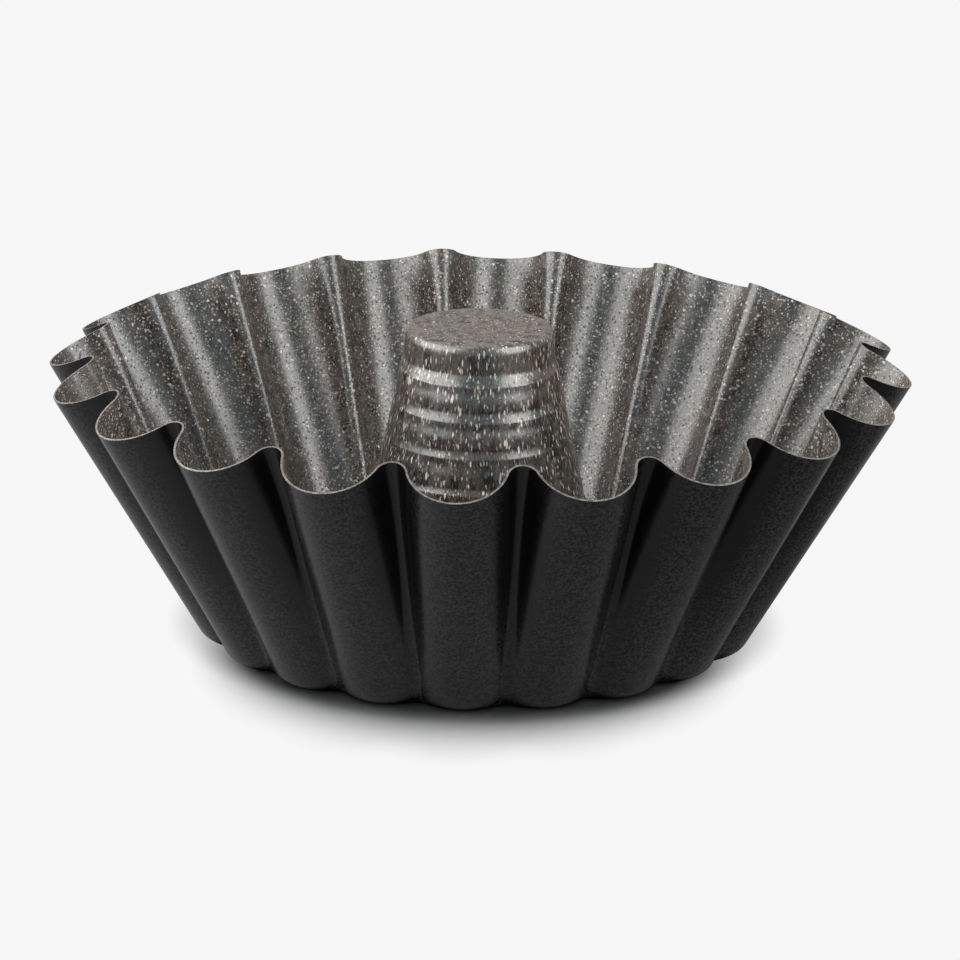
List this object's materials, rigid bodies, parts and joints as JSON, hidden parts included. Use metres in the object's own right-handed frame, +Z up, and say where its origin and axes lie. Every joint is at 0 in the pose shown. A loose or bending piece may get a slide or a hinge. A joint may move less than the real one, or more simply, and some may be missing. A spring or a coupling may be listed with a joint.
{
  "type": "fluted ring cake pan",
  "caption": "Flower-shaped cake pan with a deep fluted flaring wall, wavy cut rim, flat floor and a closed stepped centre tube hooked to the floor by a folded seam.",
  "frame": {"origin": "on the axis of the centre tube, on the surface that the pan stands on", "axes": "+Z up along the tube's axis; +X through the crest of a lobe"},
  "size_m": [0.26, 0.26, 0.0926],
  "materials": {
    "shell_coat": "black satin coat outside, speckled stone-effect non-stick coat inside, bare cut edge",
    "tube_coat": "speckled stone-effect non-stick coat, satin, specks drawn out along the side"
  },
  "bodies": {
    "root": {"fluted_shell": "shell_coat", "centre_tube": "tube_coat"}
  },
  "joints": []
}
